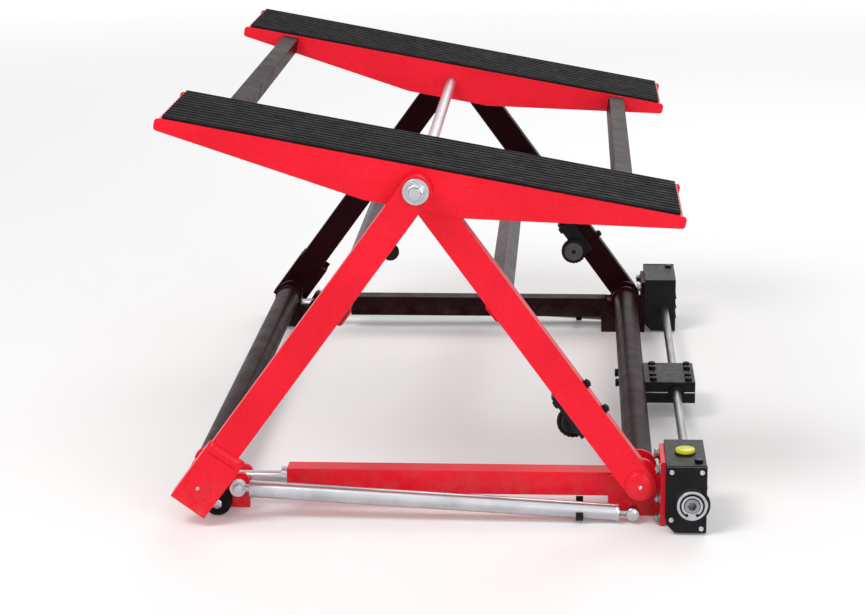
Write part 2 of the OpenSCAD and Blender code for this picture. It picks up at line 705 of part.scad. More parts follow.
at_near() drive_foot();  // near_drive_foot
at_far() drive_foot();  // far_drive_foot
drive_cross_pipe();
middle_bearing_block();
middle_block_bolts();
at_near() base_tube();  // near_base_tube
at_far() base_tube();  // far_base_tube
guide_collars();
strut_clips();
at_near() gearbox_case();  // near_gearbox_case
at_far() gearbox_case();  // far_gearbox_case
gearbox_covers();
gearbox_bolts();
socket_rings();
bubble_level();
drive_shaft();
drive_sockets();
shaft_bevel_gears();
at_near() lift_screw();  // near_lift_screw
at_far() lift_screw();  // far_lift_screw
at_near() screw_gear();  // near_screw_gear
at_far() screw_gear();  // far_screw_gear
at_near() front_leg();  // near_front_leg
at_far() front_leg();  // far_front_leg
front_cross_bar();
at_near() wheel_bracket();  // near_wheel_bracket
at_far() wheel_bracket();  // far_wheel_bracket
wheel_bracket_bolts();
at_near() wheel_tyre();  // near_wheel_tyre
at_far() wheel_tyre();  // far_wheel_tyre
at_near() wheel_hub();  // near_wheel_hub
at_far() wheel_hub();  // far_wheel_hub
at_near() rear_leg();  // near_rear_leg
at_far() rear_leg();  // far_rear_leg
leg_sleeves();
rear_cross_bar();
bump_stops();
glide_cross_pipe();
at_near() glide_foot();  // near_glide_foot
at_far() glide_foot();  // far_glide_foot
at_near() inner_tube();  // near_inner_tube
at_far() inner_tube();  // far_inner_tube
travel_nuts();
roller_bolts();
at_near() roller();  // near_roller
at_far() roller();  // far_roller
at_near() strut_tube();  // near_strut_tube
at_far() strut_tube();  // far_strut_tube
at_near() strut_rod();  // near_strut_rod
at_far() strut_rod();  // far_strut_rod
pivot_shaft();
pivot_nuts();
at_near() outer_side_plate();  // near_side_plate
at_far() outer_side_plate();  // far_side_plate
inner_side_plates();
at_near() deck();  // near_deck
at_far() deck();  // far_deck
at_near() rubber_mat();  // near_rubber_mat
at_far() rubber_mat();  // far_rubber_mat
platform_cross_tubes();
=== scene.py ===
from math import atan2, cos, pi, radians, sin, tau

import bpy
import numpy as np
from mathutils import Matrix, Vector


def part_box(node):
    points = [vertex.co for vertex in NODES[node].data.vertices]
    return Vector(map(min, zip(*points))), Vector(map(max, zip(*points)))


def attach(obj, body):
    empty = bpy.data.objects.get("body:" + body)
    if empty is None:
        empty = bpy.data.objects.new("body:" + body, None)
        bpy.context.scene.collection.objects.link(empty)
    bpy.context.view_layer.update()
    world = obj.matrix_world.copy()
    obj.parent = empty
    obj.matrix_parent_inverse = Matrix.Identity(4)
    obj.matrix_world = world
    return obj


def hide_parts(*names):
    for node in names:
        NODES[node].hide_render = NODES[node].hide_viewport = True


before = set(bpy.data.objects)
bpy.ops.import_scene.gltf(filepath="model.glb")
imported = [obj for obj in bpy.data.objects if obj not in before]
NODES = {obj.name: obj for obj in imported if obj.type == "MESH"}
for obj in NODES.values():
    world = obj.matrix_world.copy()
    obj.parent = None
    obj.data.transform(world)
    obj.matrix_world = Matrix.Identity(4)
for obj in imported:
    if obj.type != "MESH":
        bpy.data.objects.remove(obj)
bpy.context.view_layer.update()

MM = 0.001
X, Y, Z = (1, 0, 0), (0, 1, 0), (0, 0, 1)
BACK, IN, DOWN = (-1, 0, 0), (0, -1, 0), (0, 0, -1)
SIDES = ("near", "far")
# The near frame is red. The far frame is the same red with painted shade: a near-black maroon standing
# for the deep shadow it lies in.
FRAME_PAINT = {"near": "red_paint", "far": "dark_frame_paint"}


# Places, in millimetres: the far side is at +Y, and the near side is its mirror.

def middle(node):
    """Middle of a solid's box, in millimetres."""
    low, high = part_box(node)
    return (np.array(low) + np.array(high)) / 2 / MM


x_drive, foot_h = middle("drive_cross_pipe")[[0, 2]]
x_glide = middle("glide_cross_pipe")[0]
x_pivot, pivot_h = middle("pivot_shaft")[[0, 2]]
leg_angle = atan2(pivot_h - foot_h, x_drive - x_pivot)
deck_tilt = radians(10.5)
screw_y, screw_h = 583.0, 51.0

# Inner and outer sides of the feet, base tubes, legs, plates and gearboxes, along Y
foot_in, base_in, base_out, foot_out = 557.0, 563.0, 603.0, 611.0
wheel_in, front_in, front_mid, front_out = 604.5, 629.5, 644.5, 659.5
plate_in, rear_in, rear_out = 660.0, 664.5, 694.5
deck_in, case_in, case_out, cover = 402.0, 555.0, 697.5, 6.0
eye_out = 651.9

# Gearbox case along X and Z, and the drive shaft in it
case_x0, case_x1 = x_drive + 41, x_drive + 105
case_low, case_top = 4.0, 114.0
shaft_x, shaft_r = x_drive + 82, 8.4

# Round and square tubes: half their widths, and how far up a leg its bar is welded
pipe_r, stub_r, leg_half, bar_half, bar_along = 24.15, 17.4, 25.0, 15.4, 365.0

# Struts' eyes, floor rollers and the heads of their bolts
strut_front = np.array([x_drive - 11, front_mid, 16.0])
strut_rear = np.array([x_glide + 58, front_mid, 51.0])
roller_x, roller_h, roller_r, roller_wide = x_glide + 22, 23.0, 23.0, 24.0
roller_in, roller_head = 616.0, 640.3

# On a front leg: the transport wheel's axle, how far it stands off, and its bracket's bolts
axle_along, axle_off, wheel_r, wheel_wide = 140.0, 33.0, 26.0, 20.0
stud_stations = (135.0, 186.0)

# Lifting screws: radius, where the thread ends and where the plain neck begins
screw_r, thread_x, neck_x = 6.0, x_drive - 560, x_drive - 45

# Middle block along X, its outer side along Y and its top
block_x0, block_x1, block_out, block_top = x_drive + 22, x_drive + 116.6, 66.3, 70.8


def turned(points, angle, origin):
    """Turns points about Y, x' = x cos a + z sin a and z' = z cos a - x sin a, and moves them
    to an origin."""
    p = np.asarray(points, float)
    c, s = cos(angle), sin(angle)
    out = np.stack([p[..., 0] * c + p[..., 2] * s, p[..., 1], p[..., 2] * c - p[..., 0] * s], -1)
    return out + np.asarray(origin, float)


def on_front(points):
    """Leg places of a front leg: X runs up from its foot pivot, Z points to its lower side."""
    return turned(points, leg_angle - pi, (x_drive, 0, foot_h))


def on_rear(points):
    """Leg places of a rear leg: X runs up from its foot pivot, Z points to its upper side."""
    return turned(points, -leg_angle, (x_glide, 0, foot_h))


def on_deck(points):
    """Platform places: X runs along the tilted platform from its pivot."""
    return turned(points, deck_tilt, (x_pivot, 0, pivot_h))


# Surfaces on a grid of two parameters

def shell(rows, ring=False):
    """A closed skin over a grid of points: columns go round and meet, and rows run along.
    Fans to their mean points close its two ends, or the last row meets the first in a ring."""
    m, n = rows.shape[:2]
    i, j = np.meshgrid(np.arange(m if ring else m - 1), np.arange(n), indexing="ij")
    a, b = i * n + j, i * n + (j + 1) % n
    c, d = ((i + 1) % m) * n + (j + 1) % n, ((i + 1) % m) * n + j
    quads = np.stack([a, b, c, d], -1).reshape(-1, 4)
    points = rows.reshape(-1, 3)
    tris = np.zeros((0, 3), int)
    if not ring:
        points = np.vstack([points, rows[0].mean(0), rows[-1].mean(0)])
        k, last = np.arange(n), (m - 1) * n
        first_fan = np.stack([(k + 1) % n, k, np.full(n, m * n)], -1)
        last_fan = np.stack([last + k, last + (k + 1) % n, np.full(n, m * n + 1)], -1)
        tris = np.vstack([first_fan, last_fan])
    cut = np.vstack([quads[:, [0, 1, 2]], quads[:, [0, 2, 3]], tris])
    p = points - points.mean(0)
    if (p[cut[:, 0]] * np.cross(p[cut[:, 1]], p[cut[:, 2]])).sum() < 0:
        quads, tris = quads[:, ::-1], tris[:, ::-1]
    return points, quads, tris


def spokes(axis, t):
    """An axis as a unit vector, and the unit vectors that point out from it at the angles t:
    cos t side + sin t up, where side and up are square to the axis and to each other."""
    axis = np.asarray(axis, float) / np.linalg.norm(axis)
    side = np.cross(axis, Z if abs(axis[2]) < 0.9 else X)
    side /= np.linalg.norm(side)
    return axis, np.cos(t)[:, None] * side + np.sin(t)[:, None] * np.cross(axis, side)


def lathe(profile, origin, axis, n=48, lobes=None):
    """Surface of revolution: origin + h axis + r (cos t side + sin t up), for each (r, h) of a profile.
    lobes(t, r, h) may change the radius round the turn."""
    t = np.arange(n) * tau / n
    axis, way = spokes(axis, t)
    r, h = np.asarray(profile, float).T[:, :, None]
    r = np.broadcast_to(r, (len(r), n)) if lobes is None else lobes(t[None], r, h)
    return shell(np.asarray(origin, float) + h[..., None] * axis + r[..., None] * way)


def washed(profile, origin, axis, n=48):
    """Ring turned from a closed (r, h) outline, such as a washer or a bored collar."""
    axis, way = spokes(axis, np.arange(n) * tau / n)
    p = np.asarray(profile, float)
    return shell(np.asarray(origin, float) + p[:, None, 1:] * axis + p[:, None, :1] * way, ring=True)


def six_sided(t, r, h):
    """Hexagon with corner radius r: r cos 30 / cos(t folded into 60 degrees)."""
    fold = (t + pi / 6) % (pi / 3) - pi / 6
    return r * cos(pi / 6) / np.cos(fold) + 0 * h


def hex_head(origin, axis, r, high):
    """Hexagon head or nut with corner radius r: its corners are trimmed by a cone at both ends,
    radius = min(hexagon, cone)."""
    flat = r * cos(pi / 6)
    steps = np.array([[r, h] for h in (0.0, 0.12, 0.5, 0.84, 0.9, 0.95, 1.0)])
    cone = np.array([flat * 0.97, flat * 1.02, r * 1.05, r * 1.05, (r + flat) / 2 + 0.1, flat * 1.03,
                     flat * 0.95])

    def lobes(t, rad, h):
        return np.minimum(six_sided(t, rad, h), cone[:, None])

    steps[:, 1] *= high
    return lathe(steps, origin, axis, 72, lobes)


def thread(origin, axis, r, length, pitch, depth, n=20, per_turn=8):
    """Screw thread: radius = r - depth (0.5 - 0.5 clip(2.2 cos(2 pi h / pitch - t), -1, 1)),
    tapered at both ends."""
    h = np.linspace(0, length, int(round(length / pitch * per_turn)) + 1)
    end = np.clip(np.minimum(h, length - h) / pitch, 0, 1)[:, None]

    def lobes(t, rad, hh):
        wave = 0.5 - 0.5 * np.clip(2.2 * np.cos(tau * hh / pitch - t), -1, 1)
        return rad - depth * (wave * end + (1 - end) * 0.9)

    return lathe(np.stack([np.full_like(h, r), h], -1), origin, axis, n, lobes)


def smooth_path(corners, step, ring=False):
    """Even points along a line through corners, step apart."""
    c = np.asarray(corners, float)
    if ring:
        c = np.vstack([c, c[:1]])
    d = np.r_[0, np.cumsum(np.linalg.norm(np.diff(c, axis=0), axis=1))]
    k = max(int(round(d[-1] / step)), 3)
    s = np.linspace(0, d[-1], k + 1)
    out = np.stack([np.interp(s, d, c[:, a]) for a in range(3)], -1)
    return out[:-1] if ring else out


def bead(corners, r, ring=False, n=10, ripple=0.16, pitch=2.6):
    """Weld bead: a round profile of radius r (1 + ripple cos(2 pi s / pitch)) carried along a line,
    with round ends where the line is open."""
    p = smooth_path(corners, pitch / 3, ring)
    go = np.roll(p, -1, 0) - np.roll(p, 1, 0) if ring else np.gradient(p, axis=0)
    go /= np.linalg.norm(go, axis=1)[:, None]
    least = np.eye(3)[np.abs(go).mean(0).argmin()]
    side = np.cross(go, least)
    side /= np.linalg.norm(side, axis=1)[:, None]
    up = np.cross(go, side)
    rad = r * (1 + ripple * np.cos(tau * np.arange(len(p)) / 3))
    if not ring:
        e = np.minimum(np.arange(len(p)), np.arange(len(p))[::-1]) / 2.5
        rad = rad * np.sqrt(np.clip(1 - (1 - np.clip(e, 0, 1)) ** 2, 0.06, 1))
    t = np.arange(n) * tau / n
    way = np.cos(t)[:, None] * side[:, None] + np.sin(t)[:, None] * up[:, None]
    return shell(p[:, None] + rad[:, None, None] * way, ring)


def strip(ends, profile, across_by, out_by, n=9):
    """Rolled strip: a closed profile of (a, b) pairs carried from one end to the other,
    each point end + a across_by + b out_by, drawn in to a third at both ends by sin of the way."""
    s = np.linspace(0, 1, n)
    w = 0.34 + 0.66 * np.sqrt(np.clip(np.sin(pi * s) * 6, 0, 1))
    a, b = np.asarray(profile, float).T
    line = np.outer(1 - s, ends[0]) + np.outer(s, ends[1])
    return shell(line[:, None] + a[None, :, None] * np.asarray(across_by, float)
                 + (w[:, None] * b)[..., None] * np.asarray(out_by, float))


def circle(origin, axis, r, n=96):
    """Points of a circle round an axis."""
    return np.asarray(origin, float) + r * spokes(axis, np.arange(n) * tau / n)[1]


def square_loop(origin, half, round_r=4.0):
    """Rounded square in the XZ plane round a place."""
    t = np.linspace(0, pi / 2, 5)
    quarter = np.stack([np.cos(t), np.sin(t)], -1) * round_r + (half - round_r)
    flat = np.vstack([quarter, quarter[::-1] * [-1, 1], -quarter, quarter[::-1] * [1, -1]])
    return np.asarray(origin, float) + np.stack([flat[:, 0], np.zeros(len(flat)), flat[:, 1]], -1)


def soft_slab(low, high, edge=2.0, n=6):
    """Block with rounded upright edges and rounded rims: a rounded rectangle carried up,
    drawn in by edge (1 - sin a) at each rim."""
    low, high = np.asarray(low, float), np.asarray(high, float)
    mid, half = (low + high) / 2, (high - low) / 2
    t = np.linspace(0, pi / 2, n)
    signs = [(1, 1), (-1, 1), (-1, -1), (1, -1)]
    corner = [np.stack([np.cos(t + k * pi / 2), np.sin(t + k * pi / 2)], -1) for k in range(4)]
    a = np.linspace(0, pi / 2, n)
    grow = np.r_[np.sin(a), np.sin(a)[::-1]]
    z = np.r_[-half[2] + edge * (1 - np.cos(a)), half[2] - edge * (1 - np.cos(a))[::-1]]
    rows = []
    for g, level in zip(np.maximum(grow, 0.02), z):
        loop = [np.array(s) * (half[:2] - edge) + edge * g * c for s, c in zip(signs, corner)]
        loop = np.vstack(loop)
        rows.append(np.column_stack([loop, np.full(len(loop), level)]) + mid)
    return shell(np.array(rows))


def mirrored(parts):
    """Parts mirrored to the near side, with their faces turned to point outwards."""
    return [(p * [1, -1, 1], q[:, ::-1], t[:, ::-1]) for p, q, t in parts]


def both(parts):
    """Parts of the far side and their mirrors at the near side."""
    return parts + mirrored(parts)


def at_side(side, parts):
    """Parts of the far side, or their mirrors where the side is near."""
    return mirrored(parts) if side == "near" else parts


def placed(parts, place):
    """Parts moved by one of the place functions."""
    return [(place(p), q, t) for p, q, t in parts]


def make(name, parts, body, slot, sharp=35, stands_for=None):
    """Puts parts into one mesh in metres, lets it ride on a body, and lets it stand for a node."""
    points, faces, at = [], [], 0
    for p, q, t in parts:
        points.append(p * MM)
        faces += (q + at).tolist() + (t + at).tolist()
        at += len(p)
    mesh = bpy.data.meshes.new(name)
    mesh.from_pydata(np.vstack(points).tolist(), [], faces)
    mesh.polygons.foreach_set("use_smooth", np.ones(len(mesh.polygons), bool))
    mesh.set_sharp_from_angle(angle=radians(sharp))
    mesh.update()
    piece = bpy.data.objects.new(name, mesh)
    bpy.context.scene.collection.objects.link(piece)
    mesh.materials.append(FINISH[slot])
    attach(piece, body)
    if stands_for:
        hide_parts(stands_for)
    return piece


# Finishes

def lin(*rgb):
    """A colour of 0 to 255 steps as linear light."""
    c = np.array(rgb, float) / 255
    return tuple(np.where(c <= 0.04045, c / 12.92, ((c + 0.055) / 1.055) ** 2.4)) + (1.0,)


class Sheet:
    """Node sheet of one finish, with short ways to add nodes."""

    def __init__(self, name):
        self.material = bpy.data.materials.new(name)
        self.material.use_nodes = True
        self.tree = self.material.node_tree
        self.shader = self.tree.nodes["Principled BSDF"]
        self.place = self.tree.nodes.new("ShaderNodeTexCoord").outputs["Object"]

    def link(self, a, b):
        """Links an output to an input."""
        self.tree.links.new(a, b)

    def put(self, kind, **values):
        """Adds a node: i0, i1 and so on set or link its inputs, and other names set its own values."""
        node = self.tree.nodes.new(kind)
        for key, value in values.items():
            if not (key[0] == "i" and key[1:].isdigit()):
                setattr(node, key, value)
            elif isinstance(value, bpy.types.NodeSocket):
                self.link(value, node.inputs[int(key[1:])])
            else:
                node.inputs[int(key[1:])].default_value = value
        return node

    def stretched(self, scale):
        """Object coordinates, multiplied by a scale along each axis."""
        node = self.put("ShaderNodeMapping", i0=self.place)
        node.inputs["Scale"].default_value = scale
        return node.outputs["Vector"]

    def noise(self, scale, detail=3.0, rough=0.55, where=None):
        """Cloudy noise from 0 to 1, with scale lumps a metre."""
        node = self.put("ShaderNodeTexNoise")
        self.link(where or self.place, node.inputs["Vector"])
        node.inputs["Scale"].default_value = scale
        node.inputs["Detail"].default_value = detail
        node.inputs["Roughness"].default_value = rough
        return node.outputs["Fac"]

    def span(self, value, low, high, to_low=0.0, to_high=1.0):
        """A value between low and high, carried over to another range and held at its ends."""
        node = self.put("ShaderNodeMapRange", i0=value, i1=low, i2=high, i3=to_low, i4=to_high)
        return node.outputs[0]

    def times(self, a, b):
        """Product of two values."""
        return self.put("ShaderNodeMath", operation="MULTIPLY", i0=a, i1=b).outputs[0]

    def plus(self, a, b):
        """Sum of two values."""
        return self.put("ShaderNodeMath", operation="ADD", i0=a, i1=b).outputs[0]

    def blend(self, share, a, b):
        """Two colours mixed by a share."""
        node = self.put("ShaderNodeMix", data_type="RGBA")
        self.link(share, node.inputs[0])
        for place, value in ((6, a), (7, b)):
            if isinstance(value, bpy.types.NodeSocket):
                self.link(value, node.inputs[place])
            else:
                node.inputs[place].default_value = value
        return node.outputs[2]

    def edges(self, radius):
        """Nearly 1 at an edge, from how far the rounded normal leans from the face's own."""
        soft = self.put("ShaderNodeBevel", samples=4)
        soft.inputs["Radius"].default_value = radius
        own = self.put("ShaderNodeNewGeometry")
        dot = self.put("ShaderNodeVectorMath", operation="DOT_PRODUCT")
        self.link(soft.outputs[0], dot.inputs[0])
        self.link(own.outputs["Normal"], dot.inputs[1])
        return self.span(dot.outputs["Value"], 0.995, 0.9)

    def bump(self, height, strength, distance, under=None):
        """Normal leant by the slope of a height, on top of another normal where one is given."""
        node = self.put("ShaderNodeBump")
        self.link(height, node.inputs["Height"])
        node.inputs["Strength"].default_value = strength
        node.inputs["Distance"].default_value = distance
        if under:
            self.link(under, node.inputs["Normal"])
        return node.outputs[0]

    def end(self, colour, rough, normal, **fixed):
        """Links colour, roughness and normal to the shader, and sets what is the same all over."""
        self.link(colour, self.shader.inputs["Base Color"])
        self.link(rough, self.shader.inputs["Roughness"])
        self.link(normal, self.shader.inputs["Normal"])
        for key, value in fixed.items():
            self.shader.inputs[key.replace("_", " ")].default_value = value
        return self.material


def paint(name, colour, shade, scuff, rough, fixed, wear=0.5, dust=0.35):
    """Powder paint: broad drifts of tone, orange peel, floor dust low down, and thin worn edges."""
    s = Sheet(name)
    drift = s.span(s.noise(7, 4), 0.35, 0.65)
    fine = s.noise(140, 3)
    mottle = s.plus(s.times(drift, 0.65), s.times(s.span(fine, 0.35, 0.65), 0.35))
    tone = s.blend(mottle, colour, shade)
    spots = s.times(s.edges(0.0018), s.span(s.noise(38, 6, 0.7), 0.52, 0.58))
    worn = s.blend(s.times(spots, wear), tone, scuff)
    height = s.put("ShaderNodeSeparateXYZ", i0=s.place).outputs["Z"]
    low = s.times(s.span(height, 0.09, 0.0), s.span(s.noise(28, 6, 0.75), 0.42, 0.7))
    dusty = s.blend(s.times(low, dust), worn, lin(150, 140, 132))
    marks = s.noise(24, 4, 0.6)
    shine = s.plus(s.span(marks, 0.3, 0.75, rough[0], rough[1]), s.times(low, 0.25))
    shine = s.plus(shine, s.times(spots, 0.2))
    peel = s.bump(s.noise(520, 2), 0.3, 0.0004)
    return s.end(dusty, shine, s.bump(fine, 0.07, 0.0008, peel), **fixed)


def casting(name, colour, shade, rough):
    """Painted casting: close pits, soft lumps, and rubbed edges."""
    s = Sheet(name)
    tone = s.blend(s.span(s.noise(22, 5), 0.35, 0.65), colour, shade)
    rub = s.times(s.edges(0.002), s.span(s.noise(60, 6, 0.7), 0.45, 0.6))
    tone = s.blend(s.times(rub, 0.5), tone, lin(92, 90, 90))
    shine = s.span(s.noise(80, 4), 0.3, 0.7, rough[0], rough[1])
    pits = s.bump(s.noise(620, 3, 0.65), 0.35, 0.0007)
    return s.end(tone, shine, s.bump(s.noise(70, 3), 0.3, 0.0015, pits), Specular_IOR_Level=0.12)


def plated(name, colour, shade, rough, draw=(1.0, 1.0, 1.0), stain=None):
    """Plated or bare metal: fine lines along the way it was drawn or turned, cloudy tone and rubs."""
    s = Sheet(name)
    lines = s.noise(160, 4, 0.6, s.stretched(draw))
    cloud = s.span(s.noise(18, 5, 0.6), 0.35, 0.68)
    tone = s.blend(cloud, colour, shade)
    if stain:
        tone = s.blend(s.times(s.span(s.noise(34, 6, 0.7), 0.58, 0.72), 0.5), tone, stain)
    shine = s.plus(s.span(lines, 0.3, 0.7, rough[0], rough[1]), s.times(cloud, 0.06))
    return s.end(tone, shine, s.bump(lines, 0.12, 0.0003), Metallic=1.0)


def rubber(name, colour, shade):
    """Black rubber: a fine moulded grain, grey bloom and dust."""
    s = Sheet(name)
    bloom = s.span(s.noise(16, 6, 0.65), 0.42, 0.7)
    tone = s.blend(bloom, colour, shade)
    rub = s.times(s.edges(0.0015), s.span(s.noise(70, 5), 0.4, 0.6))
    tone = s.blend(s.times(rub, 0.4), tone, lin(70, 68, 66))
    shine = s.span(s.noise(40, 4), 0.3, 0.7, 0.62, 0.84)
    grain = s.put("ShaderNodeTexVoronoi", i0=s.place)
    grain.inputs["Scale"].default_value = 700
    skin = s.bump(grain.outputs["Distance"], 0.3, 0.0004)
    return s.end(tone, shine, s.bump(s.noise(90, 3), 0.15, 0.0008, skin), Specular_IOR_Level=0.12)


def clear(name):
    """Tinted clear window of the level."""
    s = Sheet(name)
    tone = s.blend(s.span(s.noise(60, 3), 0.4, 0.6), lin(222, 224, 26), lin(206, 214, 18))
    shine = s.span(s.noise(120, 3), 0.3, 0.7, 0.2, 0.3)
    return s.end(tone, shine, s.bump(s.noise(200, 2), 0.03, 0.0003),
                 Transmission_Weight=0.1, IOR=1.45, Specular_IOR_Level=0.25)


GLOSS = {"Specular_IOR_Level": 0.14, "Coat_Weight": 0.04, "Coat_Roughness": 0.15}
DULL = {"Specular_IOR_Level": 0.16}
DARK = {"Specular_IOR_Level": 0.04}
ALONG_TUBE, ALONG_SHAFT = (6.0, 60.0, 60.0), (40.0, 8.0, 40.0)
FINISH = {
    "red_paint": paint("red_paint", lin(242, 28, 50), lin(222, 20, 40), lin(112, 90, 88),
                       (0.27, 0.37), GLOSS, 0.65),
    # Painted shade: the far frame, cross pipes and platform tubes are the same red as the near side,
    # darkened here to a near-black maroon with a low specular, as red looks in deep shade.
    "dark_frame_paint": paint("dark_frame_paint", lin(38, 8, 14), lin(26, 7, 11), lin(96, 80, 82),
                              (0.3, 0.46), DARK, 0.35, 0.12),
    "grey_paint": paint("grey_paint", lin(98, 94, 99), lin(84, 81, 86), lin(150, 148, 148),
                        (0.38, 0.54), DULL),
    "black_casting": casting("black_casting", lin(19, 18, 20), lin(28, 27, 29), (0.34, 0.5)),
    "black_bolts": plated("black_bolts", lin(44, 44, 48), lin(30, 30, 33), (0.3, 0.45)),
    "zinc_plate": plated("zinc_plate", lin(208, 210, 214), lin(180, 184, 189), (0.2, 0.34),
                         ALONG_TUBE, lin(192, 184, 166)),
    "bare_steel": plated("bare_steel", lin(166, 167, 170), lin(134, 136, 140), (0.22, 0.36),
                         ALONG_SHAFT),
    "nut_bronze": plated("nut_bronze", lin(186, 146, 84), lin(164, 122, 66), (0.26, 0.4)),
    "level_plastic": clear("level_plastic"),
    "black_rubber": rubber("black_rubber", lin(15, 15, 16), lin(25, 24, 24)),
}


# The solids as packed keep their forms. Their edges are rounded, as a tube's or a casting's are.

def round_edges(solid, edge, steps=3):
    """Joins a solid's triangles, and rounds its edges sharper than 40 degrees by edge millimetres."""
    weld = solid.modifiers.new("join", "WELD")
    weld.merge_threshold = 0.00002
    flat = solid.modifiers.new("flat", "DECIMATE")
    flat.decimate_type = "DISSOLVE"
    flat.angle_limit = radians(0.6)
    rim = solid.modifiers.new("rim", "BEVEL")
    rim.width, rim.segments = edge * MM, steps
    rim.limit_method, rim.angle_limit = "ANGLE", radians(40)
    rim.miter_outer = "MITER_ARC"
    even = solid.modifiers.new("even", "WEIGHTED_NORMAL")
    even.keep_sharp = False


def one_side(node, side):
    """The far or near half of a solid of two twins, as points and triangles."""
    mesh = NODES[node].data
    points = np.empty(len(mesh.vertices) * 3)
    mesh.vertices.foreach_get("co", points)
    corners = np.empty(len(mesh.loops), int)
    mesh.loops.foreach_get("vertex_index", corners)
    points, tris = points.reshape(-1, 3) / MM, corners.reshape(-1, 3)
    tris = tris[(points[tris][..., 1] * side > 0).all(1)]
    used, order = np.unique(tris, return_inverse=True)
    return [(points[used], np.zeros((0, 4), int), order.reshape(-1, 3))]


def dress(names, slot, edge, steps=3):
    """Gives solids a finish and rounded edges."""
    for name in names.split():
        solid = NODES[name]
        if not solid.material_slots:
            solid.data.materials.append(FINISH[slot])
        for place in solid.material_slots:
            place.material = FINISH[slot]
        if edge:
            round_edges(solid, edge, steps)


dress("near_drive_foot near_base_tube near_glide_foot", "red_paint", 1.6)
dress("near_front_leg near_rear_leg", "red_paint", 4.2, 4)
dress("leg_sleeves", "red_paint", 0)
dress("near_side_plate far_side_plate inner_side_plates near_deck far_deck", "red_paint", 1.2)
# The far frame, cross pipes and platform tubes are red like the near frame, but take the maroon of
# painted shade.
dress("far_drive_foot far_base_tube far_glide_foot", "dark_frame_paint", 1.6)
dress("far_front_leg far_rear_leg", "dark_frame_paint", 4.2, 4)
dress("drive_cross_pipe glide_cross_pipe platform_cross_tubes", "dark_frame_paint", 1.2)
dress("front_cross_bar rear_cross_bar", "grey_paint", 3.0)
dress("near_gearbox_case far_gearbox_case gearbox_covers", "black_casting", 1.8)
dress("middle_bearing_block", "black_casting", 2.4)
dress("strut_clips near_wheel_bracket far_wheel_bracket", "black_casting", 0.8)
dress("near_wheel_hub far_wheel_hub", "grey_paint", 0.8)
dress("guide_collars socket_rings", "zinc_plate", 0.6)
dress("near_inner_tube far_inner_tube near_strut_tube far_strut_tube", "zinc_plate", 0.6)
dress("pivot_shaft", "zinc_plate", 1.0)
dress("drive_shaft drive_sockets near_strut_rod far_strut_rod", "bare_steel", 0.6)
dress("shaft_bevel_gears near_screw_gear far_screw_gear", "bare_steel", 0)
dress("travel_nuts", "nut_bronze", 0.8)
dress("bump_stops near_rubber_mat far_rubber_mat", "black_rubber", 0.7, 2)
dress("middle_block_bolts wheel_bracket_bolts", "black_bolts", 0)
dress("gearbox_bolts roller_bolts pivot_nuts", "zinc_plate", 0)
dress("near_lift_screw far_lift_screw", "bare_steel", 0)
dress("near_wheel_tyre far_wheel_tyre near_roller far_roller", "black_rubber", 0)
dress("bubble_level", "level_plastic", 0)

# The far sleeve takes the far frame's red in painted shade.
for side, way in zip(SIDES, (-1, 1)):
    half = one_side("leg_sleeves", way)
    sleeve = make(f"{side}_leg_sleeve", half, "rear_legs", FRAME_PAINT[side], stands_for="leg_sleeves")
    round_edges(sleeve, 1.2)


# Nuts, bolts and screws

def flat_washer(origin, axis, r, bore, high):
    """Flat ring with broken rims."""
    c = min(0.5, high / 4)
    return washed([[bore, c], [bore + c, 0], [r - c, 0], [r, c], [r, high - c], [r - c, high],
                   [bore + c, high], [bore, high - c]], origin, axis)


washer_at = rear_out + 0.5
nut_at = washer_at + 3
top = [flat_washer((x_pivot, washer_at, pivot_h), Y, 21, 10.05, 3),
       hex_head((x_pivot, nut_at, pivot_h), Y, 15, 12.9)]
make("pivot_nuts_fine", both(top), "top_shaft", "zinc_plate", stands_for="pivot_nuts")
tip = [thread((x_pivot, nut_at, pivot_h), Y, 10.25, 17.6, 1.75, 0.55, 40)]
make("pivot_threads", both(tip), "top_shaft", "black_bolts")

studs = []
for along in stud_stations:
    studs += [thread((along, front_mid, -leg_half - 8.6), Z, 4, 2 * leg_half + 14, 1.25, 0.45, 20),
              flat_washer((along, front_mid, -leg_half - 1.6), Z, 8, 4.1, 1.6),
              hex_head((along, front_mid, -leg_half - 1.6), DOWN, 7, 5.4),
              hex_head((along, front_mid, leg_half + 6), Z, 7, 5.4)]
make("wheel_bracket_studs", both(placed(studs, on_front)), "front_legs", "black_bolts",
     stands_for="wheel_bracket_bolts")

flange_x, bolt_y = case_x0 - 8, front_mid + 8
bolts = []
for y, z in ((bolt_y, 94), (bolt_y, 45), (bolt_y, 12), (case_in + 16, 94)):
    bolts += [flat_washer((flange_x, y, z), BACK, 9.8, 4.05, 1.8),
              hex_head((flange_x - 1.8, y, z), BACK, 8.4, 6.4),
              lathe([[3.4, 0], [3.2, 0.9], [1.0, 1.2]], (flange_x - 8.1, y, z), BACK, 32),
              thread((flange_x - 1, y, z), X, 4, 20.5, 1.25, 0.4, 20)]
make("flange_bolts", both(bolts), "base", "bare_steel", stands_for="gearbox_bolts")
socket_head = [[3.2, 0], [4, 0.3], [4, 2.4], [3.5, 3], [2.3, 3], [2.1, 2.8], [2.0, 0.9]]
bolts = [lathe(socket_head, (case_x0 + x, case_out + cover, z), Y, 36)
         for x, z in ((8, 106), (56, 106), (56, 12), (8, 26))]
make("cover_screws", both(bolts), "base", "zinc_plate", stands_for="gearbox_bolts")

clamp_y, clamp_h = 33.25, foot_h - 8
bolts = []
for y in (-clamp_y, clamp_y):
    bolts += [hex_head((x_drive - pipe_r + 1, y, clamp_h), BACK, 8, 7),
              lathe([[4, 0], [4, 44], [3.4, 44.6]], (x_drive - pipe_r, y, clamp_h), X, 24)]
make("middle_block_bolts_fine", bolts, "base", "black_bolts", stands_for="middle_block_bolts")

